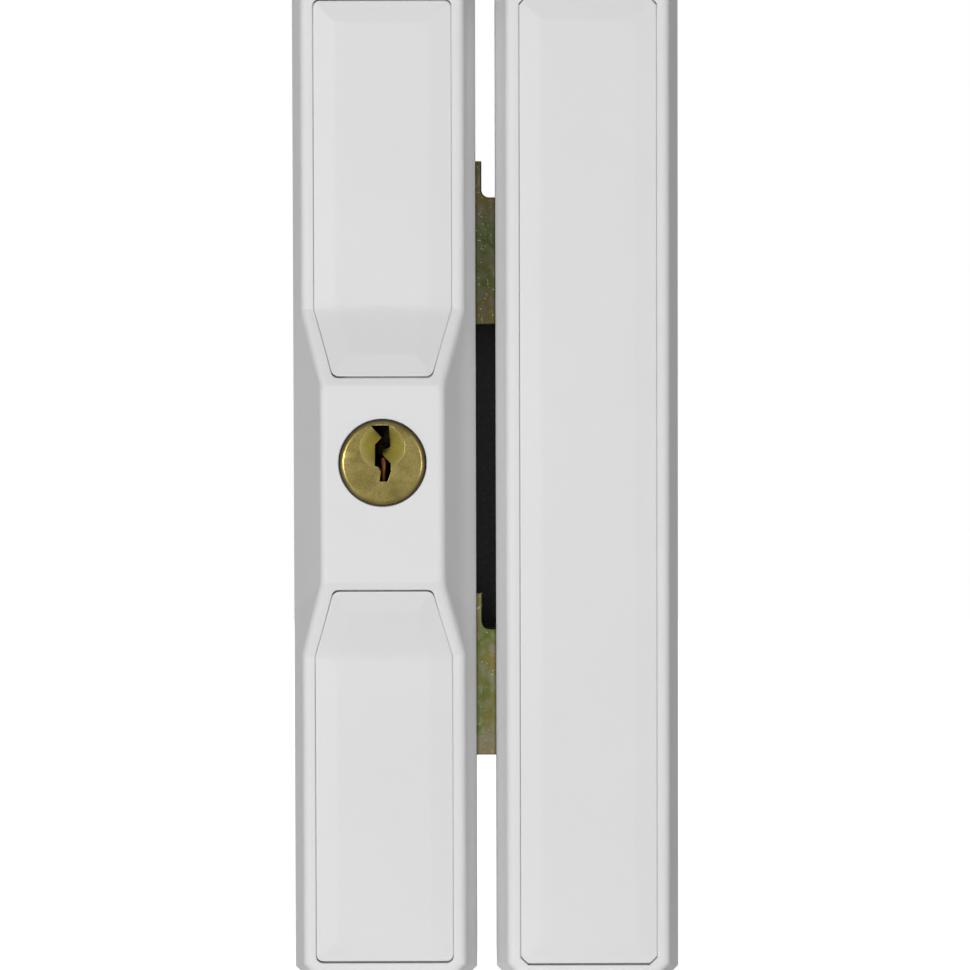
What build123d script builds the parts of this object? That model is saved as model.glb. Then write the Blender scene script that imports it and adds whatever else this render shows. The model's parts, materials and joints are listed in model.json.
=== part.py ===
from build123d import *
import math
import os

# Window lock: a lock case for the sash, a strike case for the frame, and two steel bolts
# on a carriage that a quarter turn of the key slides by rack and pinion.
# X runs from the lock case to the strike case, Z is up and the front faces -Y.
# The origin is the centre of the lock case's back face.
# A depth is a distance in front of that face, along -Y. Sizes are in millimetres.

# Cases
case_height = 160.0
case_width = 29.2
case_gap = 3.2
case_corner = 1.9
case_wall = 1.8
front_wall = 4.2
skirt_depth = 19.0
end_depth = 28.0
rim_inset = 1.76
rim_round = 1.3
case_pitch = case_width + case_gap
over_cut = 2.0

# Raised waist of the lock case
waist_rise = 5.0
waist_depth = end_depth + waist_rise
waist_lean = 0.357
waist_half_height = 15.45
fold_run = 2.41
pinch_lean = 0.432

# Caps that cover the fixing screws
seam = 0.25
cap_seat_gap = 0.05
cap_wall = 1.5
cap_proud = 0.3
bevel_width = 3.5
bevel_drop = 0.6
bevel_land = 0.05
head_bevel = 0.3
pocket_depth = 3.0
ledge_width = 1.2
cover_width = 21.3
cover_reach = 76.0
cover_start = 16.9
cover_end_width = 15.1
cover_corner = 1.1
panel_width = 21.2
panel_reach = 76.4
panel_corner = 1.2
grip_rib_height = 3.2
grip_rib_length = 7.0
grip_rib_thickness = 1.0
grip_rib_clearance = 0.1

# Back plates and the screws that hold them to the cases
plate_thickness = 2.0
plate_clearance = 0.1
fixing_hole_radius = 2.6
fixing_spread = 11.0
fixing_reach = 66.0
boss_radius = 2.4
boss_reach = 57.0
boss_depth = 17.5
case_screw_radius = 1.25
case_screw_head_radius = 2.2
case_screw_length = 12.0
screw_clearance = 0.05

# Bolts
bolt_thickness = 4.0
bolt_back_depth = 13.0
bolt_body_height = 26.2
bolt_tongue_height = 20.4
bolt_spacing = 69.4
upper_bolt_foot = 25.1
bolt_shoulder = 1.0
bolt_left = -2.0
bolt_engagement = 2.4
bolt_root_round = 1.2
bolt_tip_round = 0.9
bolt_edge_round = 0.35
bolt_clearance = 0.3
rivet_radius = 1.6
rivet_head_radius = 2.7
rivet_head_height = 1.1
rivet_offsets = ((3.0, 6.0), (9.0, 17.0))

# Carriage
carriage_clearance = 0.1
carriage_thickness = 4.0
nose_gap = 0.6
nose_margin = 0.6
carriage_wall_gap = 1.0
stud_radius = 2.0
stud_head_radius = 2.7
stud_head_height = 1.2
stud_tail_radius = 1.5
stud_x = 1.2
stud_heights = (18.0, -15.0)
sliding_clearance = 0.15

# Rack and pinion
gear_module = 0.8
pinion_teeth = 16
pressure_angle = math.radians(20)
tooth_play = 0.05
rack_addendum = 0.7
gear_dedendum = 1.0
pinion_back_depth = 6.9
pinion_width = 4.8
rack_reach = 13.5
rack_foot = 7.6
rack_front_gap = 0.2

# Cylinder
cylinder_height = 3.35
barrel_radius = 7.8
barrel_back_depth = 14.2
barrel_rear_wall = 1.6
barrel_front_wall = 2.0
plug_radius = 6.2
plug_head_radius = 6.75
plug_head_round = 0.8
plug_proud = 1.0
plug_clearance = 0.05
head_clearance = 0.15
dish_radius = 3.5
dish_height = 2.5
dish_depth = 1.2
tail_radius = 3.0
tail_flat = 2.3
clip_thickness = 0.8
clip_groove = 0.45
clip_radius = 4.6
pinion_screw_head_radius = 2.8
pinion_screw_head_height = 1.2
pinion_screw_radius = 1.2
pinion_screw_length = 4.0
key_pin_tips = (1.2, 0.3, 0.8, -0.2)
pin_radius = 1.2
pin_pitch = 2.8
pin_setback = 7.0
pin_clearance = 0.08
driver_length = 2.8
spring_length = 3.4
spring_wire = 0.35
chamber_cap_thickness = 0.8
chamber_wall = 1.25

# Clamp that holds the barrel in the case
clamp_thickness = 1.4
clamp_width = 9.0
clamp_bore_radius = 5.2
clamp_bolt_gap = 0.9
clamp_screw_edge = 2.3
clamp_screw_radius = 1.0
clamp_screw_head_radius = 1.9
clamp_screw_head_height = 1.2
clamp_screw_length = 9.0
clamp_boss_radius = 2.2
clamp_corner = 1.0

# Keeper in the strike case
keeper_thickness = 2.2
keeper_gap = 0.2
keeper_depth = 20.0
keeper_foot_width = 9.0
keeper_foot_thickness = 2.0
keeper_margin = 4.0
keeper_rivet_radius = 1.5
keeper_rivet_head_radius = 2.5
keeper_rivet_head_height = 0.9

# Outline of the key's way in, from the plug's centre: across, then up
keyway_outline = (
    (-1.8, 5.85), (1.05, 5.85), (1.2, 2.45), (0.0, 2.05), (-0.15, 1.4), (1.3, -0.1),
    (1.35, -1.35), (0.8, -2.9), (-0.45, -2.9), (-0.25, -1.35), (-0.7, -0.6), (-1.2, -0.45),
    (-1.2, 2.85), (-0.15, 3.95),
)

# Sizes that follow from the ones above
half_width = case_width / 2
half_height = case_height / 2
waist_half_width = half_width - waist_lean * (waist_depth - skirt_depth)
fold_half_height = waist_half_height + fold_run * waist_rise
pinch_foot = waist_half_height + pinch_lean * (waist_depth - skirt_depth)
bolt_front_depth = bolt_back_depth + bolt_thickness
bolt_right = half_width + bolt_shoulder
lower_bolt_foot = upper_bolt_foot - bolt_spacing
bolt_feet = (upper_bolt_foot, lower_bolt_foot)
clamp_reach = -(lower_bolt_foot + bolt_body_height) - clamp_bolt_gap
clamp_screw_reach = clamp_reach - clamp_screw_edge
carriage_back_depth = plate_thickness + carriage_clearance
carriage_front_depth = carriage_back_depth + carriage_thickness
pitch_radius = gear_module * pinion_teeth / 2
tooth_pitch = math.pi * gear_module
throw = pitch_radius * math.pi / 2
pinion_front_depth = pinion_back_depth + pinion_width
barrel_front_depth = waist_depth - barrel_front_wall
plug_back_depth = barrel_back_depth + barrel_rear_wall + plug_clearance
head_back_depth = barrel_front_depth + plug_clearance
plug_front_depth = waist_depth + plug_proud
chamber_radius = pin_radius + pin_clearance
chamber_half_width = chamber_radius + chamber_wall
pin_first_depth = waist_depth - pin_setback
pin_last_depth = plug_back_depth + chamber_radius
pin_count = 1 + int((pin_first_depth - pin_last_depth) / pin_pitch)
pin_depths = [pin_first_depth - index * pin_pitch for index in range(pin_count)]
pin_tips = [key_pin_tips[index % len(key_pin_tips)] for index in range(pin_count)]
driver_top = -(plug_radius + 2 * plug_clearance)
driver_foot = driver_top - driver_length
spring_foot = driver_foot - spring_length
chamber_foot = spring_foot - chamber_cap_thickness
pinch_run = Vector(rim_inset, pinch_foot - fold_half_height, skirt_depth - end_depth).cross(
    Vector(half_width - waist_half_width, pinch_foot - waist_half_height, skirt_depth - waist_depth)
)
pinch_slope = -pinch_run.Y / pinch_run.X
wall_inside_strike = case_pitch - half_width + case_wall
keeper_left = wall_inside_strike + keeper_gap
keeper_right = keeper_left + keeper_thickness
bolt_tip = keeper_right + bolt_engagement
nose_reach = keeper_left - nose_gap
boss_spread = half_width - case_wall - boss_radius - screw_clearance
nose_foot = lower_bolt_foot + nose_margin
nose_top = upper_bolt_foot + bolt_tongue_height - nose_margin
case_screw_places = [
    (x, z) for x in (-boss_spread, boss_spread) for z in (-boss_reach, boss_reach)
]


def level(depth, centre_x=0.0):
    # The plane at a depth, seen from the front: its x is X and its y is Z.
    return Plane((centre_x, -depth, 0), x_dir=(1, 0, 0), z_dir=(0, -1, 0))


def front_depth(height):
    # Depth of the lock case's front: flat at the ends and waist, sloping between them.
    climb = (fold_half_height - abs(height)) / (fold_half_height - waist_half_height)
    return end_depth + (waist_depth - end_depth) * min(max(climb, 0.0), 1.0)


def turned(profile, centre_x, height):
    # A round piece with its axis along Y. The profile holds (radius, depth) points.
    with BuildPart() as piece:
        with BuildSketch(Plane((centre_x, 0, height), x_dir=(1, 0, 0), z_dir=(0, 0, 1))):
            with BuildLine():
                Polyline([(radius, -depth) for radius, depth in profile], close=True)
            make_face()
        revolve(axis=Axis((centre_x, 0, height), (0, 1, 0)))
    return piece.part


def case_form(centre_x, inset, front_drop, waist):
    # A case's solid form, shrunk by inset at its sides and by front_drop at its front.
    top_depth = waist_depth + over_cut
    side_lean = rim_inset / (end_depth - skirt_depth)
    with BuildPart() as form:
        for depth in (0, skirt_depth, top_depth):
            shrink = inset + side_lean * max(depth - skirt_depth, 0)
            with BuildSketch(level(depth, centre_x)) as outline:
                Rectangle(case_width - 2 * shrink, case_height - 2 * shrink)
                chamfer(outline.vertices(), case_corner)
        loft(ruled=True)
        if waist:
            for hand in (1, -1):
                for depth in (skirt_depth - over_cut, top_depth):
                    climb = depth - skirt_depth
                    inner = half_width - inset - waist_lean * climb
                    inner_height = pinch_foot - pinch_lean * climb
                    outer_height = inner_height + (half_width + over_cut - inner) / pinch_slope
                    with BuildSketch(level(depth)):
                        with BuildLine():
                            Polyline(
                                (hand * inner, inner_height),
                                (hand * (half_width + over_cut), outer_height),
                                (hand * (half_width + over_cut), -outer_height),
                                (hand * inner, -inner_height),
                                close=True,
                            )
                        make_face()
                loft(ruled=True, mode=Mode.SUBTRACT)
        ridge = front_drop - (waist_depth if waist else end_depth)
        rim = front_drop - end_depth
        with BuildSketch(Plane.YZ.offset(centre_x)):
            with BuildLine():
                Polyline(
                    (0, case_height), (rim, case_height), (rim, fold_half_height),
                    (ridge, waist_half_height), (ridge, -waist_half_height),
                    (rim, -fold_half_height), (rim, -case_height), (0, -case_height),
                    close=True,
                )
            make_face()
        extrude(amount=case_width, both=True, mode=Mode.INTERSECT)
    return form.part


def front_rim_edges(form):
    # The edges where a case's front turns to its sides.
    fronts = ShapeList([face for face in form.faces() if abs(face.normal_at().X) < 0.01])
    fronts = ShapeList([face for face in fronts if face.normal_at().Y < -0.5])
    edges = fronts.edges()
    return ShapeList([edge for edge in edges if sum(edge.is_same(other) for other in edges) == 1])


def cap_form(stations, centre_x, grow, floor_drop, edge_rise, crest_rise, soften, corner):
    # A cap through its stations of (height, half width, bevel width, way out), top one first.
    # The drop and the rises are measured from the front of the case.
    with BuildPart() as form:
        for height, reach, bevel, way_out in stations:
            half = reach + grow
            crest_half = half - max(bevel, bevel_land)
            front = end_depth if centre_x else front_depth(height)
            crest = front + (crest_rise if bevel else edge_rise + bevel_land)
            with BuildSketch(Plane.XY.offset(height + way_out * grow)):
                with BuildLine():
                    Polyline(
                        (centre_x - half, floor_drop - front),
                        (centre_x - half, -front - edge_rise),
                        (centre_x - crest_half, -crest),
                        (centre_x + crest_half, -crest),
                        (centre_x + half, -front - edge_rise),
                        (centre_x + half, floor_drop - front),
                        close=True,
                    )
                make_face()
        loft(ruled=True)
        with BuildSketch(level(0, centre_x)) as plan:
            right = [(reach + grow, height + way_out * grow) for height, reach, _, way_out in stations]
            with BuildLine():
                Polyline(right + [(-x, z) for x, z in reversed(right)], close=True)
            make_face()
            ends = plan.vertices().group_by(Axis.Y)
            soften(ends[0] + ends[-1], corner)
        extrude(amount=waist_depth * 2, mode=Mode.INTERSECT)
    return form.part


def cut_side_slots(wall_x):
    # The way of the bolts and the carriage's nose through a case's side wall.
    with BuildPart() as slots:
        with BuildSketch(Plane.YZ.offset(wall_x - case_wall)):
            for foot in bolt_feet:
                with Locations((-(bolt_back_depth + bolt_front_depth) / 2, foot - bolt_clearance)):
                    Rectangle(
                        bolt_thickness + 2 * bolt_clearance,
                        bolt_body_height + 2 * bolt_clearance,
                        align=(Align.CENTER, Align.MIN),
                    )
            with Locations((-carriage_back_depth, nose_foot - bolt_clearance)):
                Rectangle(
                    bolt_back_depth - carriage_back_depth + bolt_clearance,
                    nose_top - nose_foot + 2 * bolt_clearance,
                    align=(Align.MAX, Align.MIN),
                )
        extrude(amount=2 * case_wall)
    return slots.part


def screw_bosses(centre_x):
    # Bosses inside a case that take the screws of its back plate.
    with BuildPart() as bosses:
        with BuildSketch(level(plate_thickness + screw_clearance, centre_x)):
            with GridLocations(2 * boss_spread, 2 * boss_reach, 2, 2):
                Circle(boss_radius)
            with GridLocations(boss_spread + half_width - case_wall / 2, 2 * boss_reach, 2, 2):
                Rectangle(half_width - case_wall / 2 - boss_spread, 2 * boss_radius)
        extrude(amount=boss_depth - plate_thickness)
    return bosses.part


def screw_set(places, head_radius, head_height, shank_radius, length, seat_depth, countersunk):
    # Screws with their heads to the back; seat_depth is where the head ends.
    with BuildPart() as screws:
        for x, z in places:
            head_back = seat_depth - head_height
            if countersunk:
                head = [(0, head_back), (head_radius, head_back)]
            else:
                head = [
                    (0, head_back),
                    (head_radius - head_bevel, head_back),
                    (head_radius, seat_depth),
                ]
            shank = [
                (shank_radius, seat_depth),
                (shank_radius, seat_depth + length - shank_radius),
                (0, seat_depth + length),
            ]
            add(turned(head + shank, x, z))
    return screws.part


def case_screws(centre_x, grow):
    # The countersunk screws that hold a back plate to its case, or the room they need.
    return screw_set(
        places=[(centre_x + x, z) for x, z in case_screw_places],
        head_radius=case_screw_head_radius + grow,
        head_height=case_screw_head_radius - case_screw_radius,
        shank_radius=case_screw_radius + grow,
        length=case_screw_length + grow,
        seat_depth=case_screw_head_radius - case_screw_radius + screw_clearance,
        countersunk=True,
    )


def clamp_screw_pair(grow):
    # The screws that hold the barrel's clamp to its bosses, or the room they need.
    return screw_set(
        places=[(0, clamp_screw_reach), (0, -clamp_screw_reach)],
        head_radius=clamp_screw_head_radius,
        head_height=clamp_screw_head_height,
        shank_radius=clamp_screw_radius + grow,
        length=clamp_screw_length + grow,
        seat_depth=barrel_back_depth - clamp_thickness,
        countersunk=False,
    )


def back_plate(centre_x):
    # The steel plate that closes a case's back and takes its fixing screws.
    inset = case_wall + plate_clearance
    with BuildPart() as plate:
        with BuildSketch(level(0, centre_x)) as outline:
            Rectangle(case_width - 2 * inset, case_height - 2 * inset)
            chamfer(outline.vertices(), case_corner)
        extrude(amount=plate_thickness)
        with Locations(level(plate_thickness, centre_x)):
            with GridLocations(fixing_spread, 2 * fixing_reach, 2, 2):
                Hole(fixing_hole_radius)
        screws = case_screws(centre_x, screw_clearance)
        add(screws, mode=Mode.SUBTRACT)
        with Locations(level(screw_clearance, centre_x)):
            with Locations(case_screw_places):
                Hole(case_screw_head_radius + screw_clearance, depth=screw_clearance)
    return plate.part


def cap_shell(stations, centre_x, soften, corner, rib_heights):
    # A cap with its bevelled rim, hollow behind, and the ribs that grip the case's ledge.
    edge_rise = cap_proud - bevel_drop
    outside = cap_form(
        stations, centre_x, 0, pocket_depth - cap_seat_gap, edge_rise, cap_proud, soften, corner
    )
    hollow = cap_form(
        stations, centre_x, -cap_wall, 2 * pocket_depth,
        edge_rise - cap_wall, cap_proud - cap_wall, soften, corner,
    )
    widest = max(reach for _, reach, _, _ in stations)
    rib_x = widest - ledge_width - grip_rib_clearance - grip_rib_thickness / 2
    with BuildPart() as cap:
        add(outside)
        add(hollow, mode=Mode.SUBTRACT)
        with BuildSketch(level(end_depth - pocket_depth - grip_rib_height, centre_x)):
            with Locations([(x, z) for x in (-rib_x, rib_x) for z in rib_heights]):
                Rectangle(grip_rib_thickness, grip_rib_length)
        extrude(amount=pocket_depth + grip_rib_height - cap_wall)
    return cap.part


def cut_for_cap(stations, centre_x, soften, corner):
    # The pocket that a cap drops into, and the opening inside its ledge.
    rises = (over_cut, over_cut + bevel_drop)
    with BuildPart() as room:
        add(cap_form(stations, centre_x, seam, pocket_depth, *rises, soften, corner))
        add(cap_form(stations, centre_x, -ledge_width, front_wall + over_cut, *rises, soften, corner))
    return room.part


# Stations of the caps, from the top down: height, half width, bevel width, way out
cover_half = cover_width / 2
cover_end_half = cover_end_width / 2
cover_narrowing = (cover_half - cover_end_half) / (fold_half_height - cover_start)
cover_stations = (
    (cover_reach, cover_half, 0, 1),
    (cover_reach - bevel_width, cover_half, bevel_width, 0),
    (fold_half_height, cover_half, bevel_width, 0),
    (cover_start + bevel_width, cover_end_half + cover_narrowing * bevel_width, bevel_width, 0),
    (cover_start, cover_end_half, 0, -1),
)
panel_stations = (
    (panel_reach, panel_width / 2, 0, 1),
    (panel_reach - bevel_width, panel_width / 2, bevel_width, 0),
    (bevel_width - panel_reach, panel_width / 2, bevel_width, 0),
    (-panel_reach, panel_width / 2, 0, -1),
)
cover_rib_heights = (36.0, 64.0)
panel_rib_heights = (-62.0, -21.0, 21.0, 62.0)

# Lock case: a die-cast shell, pinched and raised at the waist round the cylinder
cover_room = cut_for_cap(cover_stations, 0, fillet, cover_corner)
with BuildPart() as lock_housing:
    add(case_form(0, 0, 0, True))
    fillet(front_rim_edges(lock_housing), rim_round)
    add(case_form(0, case_wall, front_wall, True), mode=Mode.SUBTRACT)
    add(screw_bosses(0))
    with BuildSketch(level(barrel_back_depth)):
        with Locations((0, clamp_screw_reach), (0, -clamp_screw_reach)):
            Circle(clamp_boss_radius)
    extrude(amount=waist_depth - front_wall / 2 - barrel_back_depth)
    add(cover_room, mode=Mode.SUBTRACT)
    mirror(cover_room, about=Plane.XY, mode=Mode.SUBTRACT)
    with BuildSketch(level(barrel_back_depth)):
        with Locations((0, cylinder_height)):
            Circle(barrel_radius + plug_clearance)
    extrude(amount=barrel_front_depth - barrel_back_depth, mode=Mode.SUBTRACT)
    with BuildSketch(level(barrel_front_depth)):
        with Locations((0, cylinder_height)):
            Circle(plug_head_radius + head_clearance)
    extrude(amount=2 * barrel_front_wall, mode=Mode.SUBTRACT)
    add(cut_side_slots(half_width), mode=Mode.SUBTRACT)
    add(case_screws(0, screw_clearance), mode=Mode.SUBTRACT)
    add(clamp_screw_pair(screw_clearance), mode=Mode.SUBTRACT)

upper_cap = cap_shell(cover_stations, 0, fillet, cover_corner, cover_rib_heights)
with BuildPart() as upper_cover:
    add(upper_cap)
with BuildPart() as lower_cover:
    mirror(upper_cap, about=Plane.XY)

# Back plate of the lock case, with the seats of the carriage's guide studs
with BuildPart() as lock_back_plate:
    add(back_plate(0))
    with Locations(level(plate_thickness)):
        with Locations([(stud_x, height) for height in stud_heights]):
            Hole(stud_tail_radius + screw_clearance)

with BuildPart() as guide_studs:
    for height in stud_heights:
        head_seat = carriage_front_depth + carriage_clearance
        stud_profile = [
            (0, screw_clearance),
            (stud_tail_radius, screw_clearance),
            (stud_tail_radius, plate_thickness),
            (stud_radius, plate_thickness),
            (stud_radius, head_seat),
            (stud_head_radius, head_seat),
            (stud_head_radius, head_seat + stud_head_height - head_bevel),
            (stud_head_radius - head_bevel, head_seat + stud_head_height),
            (0, head_seat + stud_head_height),
        ]
        add(turned(stud_profile, stud_x, height))

with BuildPart() as lock_case_screws:
    add(case_screws(0, 0))

# Cylinder barrel: a brass tube with a rear wall and the pin chambers below it
bible_middle = -(pin_depths[0] + pin_depths[-1]) / 2
bible_length = pin_depths[0] - pin_depths[-1] + 2 * chamber_half_width
with BuildPart() as cylinder_barrel:
    with BuildSketch(level(barrel_back_depth)):
        with Locations((0, cylinder_height)):
            Circle(barrel_radius)
    extrude(amount=barrel_front_depth - barrel_back_depth)
    with BuildSketch(Plane.XY.offset(cylinder_height + chamber_foot)):
        with Locations((0, bible_middle)):
            Rectangle(2 * chamber_half_width, bible_length)
    extrude(amount=-chamber_foot - plug_radius)
    with BuildSketch(level(barrel_back_depth + barrel_rear_wall)):
        with Locations((0, cylinder_height)):
            Circle(plug_radius + plug_clearance)
    extrude(amount=barrel_front_depth - barrel_back_depth, mode=Mode.SUBTRACT)
    with BuildSketch(level(barrel_back_depth)):
        with Locations((0, cylinder_height)):
            Circle(tail_radius + plug_clearance)
    extrude(amount=barrel_rear_wall, mode=Mode.SUBTRACT)
    with BuildSketch(Plane.XY.offset(cylinder_height + chamber_foot)):
        with Locations([(0, -depth) for depth in pin_depths]):
            Circle(chamber_radius)
    extrude(amount=-chamber_foot - plug_radius, mode=Mode.SUBTRACT)
    with BuildSketch(Plane.XY.offset(cylinder_height + chamber_foot)):
        with Locations((0, bible_middle)):
            Rectangle(2 * chamber_radius + chamber_wall, bible_length)
    extrude(amount=chamber_cap_thickness, mode=Mode.SUBTRACT)

with BuildPart() as chamber_cap:
    with BuildSketch(Plane.XY.offset(cylinder_height + chamber_foot)):
        with Locations((0, bible_middle)):
            Rectangle(2 * chamber_radius + chamber_wall, bible_length)
    extrude(amount=chamber_cap_thickness)

# Cylinder plug: the key turns it, and its flatted tail carries the drive pinion
tail_back_depth = pinion_back_depth + pinion_screw_head_height + 2 * screw_clearance
clip_front_depth = barrel_back_depth - 2 * sliding_clearance
flat_side = tail_flat + tail_radius
dish_foot_depth = plug_front_depth - dish_depth
dish_rings = ((plug_front_depth, dish_radius), (dish_foot_depth, dish_radius - dish_depth))
with BuildPart() as cylinder_plug:
    plug_profile = [
        (0, tail_back_depth),
        (tail_radius, tail_back_depth),
        (tail_radius, plug_back_depth),
        (plug_radius, plug_back_depth),
        (plug_radius, head_back_depth),
        (plug_head_radius, head_back_depth),
        (plug_head_radius, plug_front_depth),
        (0, plug_front_depth),
    ]
    add(turned(plug_profile, 0, cylinder_height))
    fillet(cylinder_plug.edges().group_by(Axis.Y)[0], plug_head_round)
    with BuildSketch(level(tail_back_depth)):
        with Locations([(side, cylinder_height) for side in (-flat_side, flat_side)]):
            Rectangle(2 * tail_radius, 2 * tail_radius)
    extrude(amount=pinion_front_depth - tail_back_depth, mode=Mode.SUBTRACT)
    with BuildSketch(level(clip_front_depth - clip_thickness)):
        with Locations((0, cylinder_height)):
            Circle(tail_radius)
            Circle(tail_radius - clip_groove, mode=Mode.SUBTRACT)
    extrude(amount=clip_thickness, mode=Mode.SUBTRACT)
    for depth, radius in dish_rings:
        with BuildSketch(level(depth)):
            with Locations((0, cylinder_height + dish_height)):
                Circle(radius)
    loft(mode=Mode.SUBTRACT)
    with BuildSketch(level(plug_back_depth + chamber_wall)):
        with Locations((0, cylinder_height)):
            Polygon(*keyway_outline, align=None)
    extrude(amount=plug_front_depth, mode=Mode.SUBTRACT)
    for depth, tip in zip(pin_depths, pin_tips):
        with BuildSketch(Plane.XY.offset(cylinder_height - plug_radius - over_cut)):
            with Locations((0, -depth)):
                Circle(chamber_radius)
        extrude(amount=plug_radius + over_cut + tip + pin_clearance, mode=Mode.SUBTRACT)
    with BuildSketch(level(tail_back_depth)):
        with Locations((0, cylinder_height)):
            Circle(pinion_screw_radius + screw_clearance)
    extrude(amount=pinion_screw_length, mode=Mode.SUBTRACT)

# Pins at the line where the plug shears, their springs and the clip behind the barrel
with BuildPart() as key_pins:
    for depth, tip in zip(pin_depths, pin_tips):
        with BuildSketch(Plane.XY.offset(cylinder_height - plug_radius + 3 * plug_clearance)):
            with Locations((0, -depth)):
                Circle(pin_radius)
        pin = extrude(amount=plug_radius - 3 * plug_clearance + tip)
        chamfer(pin.edges().sort_by(Axis.Z)[-1], pin_radius / 2)

with BuildPart() as driver_pins:
    with BuildSketch(Plane.XY.offset(cylinder_height + driver_foot)):
        with Locations([(0, -depth) for depth in pin_depths]):
            Circle(pin_radius)
    extrude(amount=driver_length)

with BuildPart() as pin_springs:
    with BuildSketch(Plane.XY.offset(cylinder_height + spring_foot)):
        with Locations([(0, -depth) for depth in pin_depths]):
            Circle(pin_radius)
            Circle(pin_radius - spring_wire, mode=Mode.SUBTRACT)
    extrude(amount=spring_length)

with BuildPart() as plug_clip:
    with BuildSketch(level(clip_front_depth - clip_thickness)):
        with Locations((0, cylinder_height)):
            Circle(clip_radius)
            Circle(tail_radius - clip_groove + screw_clearance, mode=Mode.SUBTRACT)
        with Locations((0, cylinder_height + clip_radius)):
            Rectangle(tail_radius, 2 * tail_radius, mode=Mode.SUBTRACT)
    extrude(amount=clip_thickness)

# Clamp: a steel strap behind the barrel, screwed to bosses on the case's front wall
with BuildPart() as barrel_clamp:
    with BuildSketch(level(barrel_back_depth - clamp_thickness)) as strap:
        Rectangle(clamp_width, 2 * clamp_reach)
        fillet(strap.vertices(), clamp_corner)
        with Locations((0, cylinder_height)):
            Circle(clamp_bore_radius + clamp_width / 4)
            Circle(clamp_bore_radius, mode=Mode.SUBTRACT)
        with Locations((0, clamp_screw_reach), (0, -clamp_screw_reach)):
            Circle(clamp_screw_radius + screw_clearance, mode=Mode.SUBTRACT)
    extrude(amount=clamp_thickness)

with BuildPart() as clamp_screws:
    add(clamp_screw_pair(0))


def involute(angle):
    return math.tan(angle) - angle


# Drive pinion: involute teeth on the plug's tail, one tooth pointing straight down at rest
base_radius = pitch_radius * math.cos(pressure_angle)
pinion_tip_radius = pitch_radius + gear_module
pinion_root_radius = pitch_radius - gear_dedendum
tooth_half_angle = math.pi / (2 * pinion_teeth) - tooth_play / pitch_radius
flank = []
for radius in (base_radius, (base_radius + pitch_radius) / 2, pitch_radius, pinion_tip_radius):
    roll = math.acos(base_radius / radius)
    half_angle = tooth_half_angle + involute(pressure_angle) - involute(roll)
    flank.append((radius * math.cos(half_angle), radius * math.sin(half_angle)))
foot_angle = tooth_half_angle + involute(pressure_angle)
tooth_foot = (
    (pinion_root_radius - tooth_play) * math.cos(foot_angle),
    (pinion_root_radius - tooth_play) * math.sin(foot_angle),
)
with BuildSketch() as tooth:
    with BuildLine():
        Polyline([tooth_foot] + flank)
        Polyline([(x, -y) for x, y in [tooth_foot] + flank])
        Line(flank[-1], (flank[-1][0], -flank[-1][1]))
        Line(tooth_foot, (tooth_foot[0], -tooth_foot[1]))
    make_face()

with BuildPart() as drive_pinion:
    with BuildSketch(level(pinion_back_depth)):
        with Locations((0, cylinder_height)):
            Circle(pinion_root_radius)
            with PolarLocations(0, pinion_teeth):
                add(tooth.sketch)
    extrude(amount=pinion_width)
    with BuildSketch(level(pinion_back_depth)):
        with Locations((0, cylinder_height)):
            Circle(pinion_screw_head_radius + 2 * screw_clearance)
    extrude(amount=pinion_screw_head_height + screw_clearance, mode=Mode.SUBTRACT)
    with BuildSketch(level(pinion_back_depth)):
        with Locations((0, cylinder_height)):
            Circle(tail_radius + screw_clearance)
            Rectangle(2 * (tail_flat + screw_clearance), 3 * tail_radius, mode=Mode.INTERSECT)
    extrude(amount=pinion_width, mode=Mode.SUBTRACT)

with BuildPart() as pinion_screw:
    add(screw_set(
        places=[(0, cylinder_height)],
        head_radius=pinion_screw_head_radius,
        head_height=pinion_screw_head_height,
        shank_radius=pinion_screw_radius,
        length=pinion_screw_length,
        seat_depth=pinion_back_depth + pinion_screw_head_height + screw_clearance,
        countersunk=False,
    ))

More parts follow.
